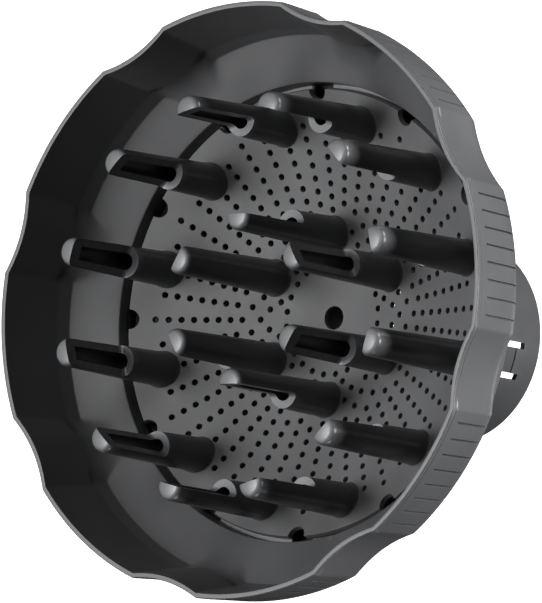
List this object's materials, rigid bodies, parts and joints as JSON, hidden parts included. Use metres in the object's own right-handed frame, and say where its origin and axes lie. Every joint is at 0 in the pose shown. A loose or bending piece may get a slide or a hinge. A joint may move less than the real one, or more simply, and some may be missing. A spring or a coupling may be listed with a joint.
{
  "type": "hair dryer diffuser",
  "caption": "Scalloped round bowl on a short slotted neck, with a dished perforated plate carrying an outer and an inner ring of hollow half-cut fingers.",
  "frame": {"origin": "centre of the neck's rear face, the end that goes over the hair dryer", "axes": "+Z along the diffuser's axis from the neck to the mouth of the bowl; +X passes through the middle of a scallop in the wall and of a notch in the plate's edge"},
  "size_m": [0.1592, 0.1592, 0.1069],
  "materials": {
    "bowl_plastic": "fine satin, dark grey",
    "neck_plastic": "fine satin, dark grey",
    "plate_plastic": "fine matte grain, dark grey",
    "finger_plastic": "satin, dark grey",
    "tab_plastic": "satin, dark grey"
  },
  "bodies": {
    "diffuser": {"bowl": "bowl_plastic", "neck_cone": "neck_plastic", "perforated_plate": "plate_plastic", "outer_finger_01": "finger_plastic", "outer_finger_02": "finger_plastic", "outer_finger_03": "finger_plastic", "outer_finger_04": "finger_plastic", "outer_finger_05": "finger_plastic", "outer_finger_06": "finger_plastic", "outer_finger_07": "finger_plastic", "outer_finger_08": "finger_plastic", "outer_finger_09": "finger_plastic", "outer_finger_10": "finger_plastic", "outer_finger_11": "finger_plastic", "outer_finger_12": "finger_plastic", "inner_finger_1": "finger_plastic", "inner_finger_2": "finger_plastic", "inner_finger_3": "finger_plastic", "inner_finger_4": "finger_plastic", "inner_finger_5": "finger_plastic", "inner_finger_6": "finger_plastic"},
    "tab_1": {"snap_tab_1": "tab_plastic"},
    "tab_2": {"snap_tab_2": "tab_plastic"},
    "tab_3": {"snap_tab_3": "tab_plastic"},
    "tab_4": {"snap_tab_4": "tab_plastic"}
  },
  "joints": [
    {"name": "snap_tab_1_flex", "type": "hinge", "parent": "diffuser", "child": "tab_1", "pos_m": [0.01893, 0.01893, 0.01025], "axis": [-0.7071, 0.7071, 0], "range_deg": [-1, 4], "stiffness_Nm_per_rad": 0.2},
    {"name": "snap_tab_2_flex", "type": "hinge", "parent": "diffuser", "child": "tab_2", "pos_m": [-0.01893, 0.01893, 0.01025], "axis": [-0.7071, -0.7071, 0], "range_deg": [-1, 4], "stiffness_Nm_per_rad": 0.2},
    {"name": "snap_tab_3_flex", "type": "hinge", "parent": "diffuser", "child": "tab_3", "pos_m": [-0.01893, -0.01893, 0.01025], "axis": [0.7071, -0.7071, 0], "range_deg": [-1, 4], "stiffness_Nm_per_rad": 0.2},
    {"name": "snap_tab_4_flex", "type": "hinge", "parent": "diffuser", "child": "tab_4", "pos_m": [0.01893, -0.01893, 0.01025], "axis": [0.7071, 0.7071, 0], "range_deg": [-1, 4], "stiffness_Nm_per_rad": 0.2}
  ]
}
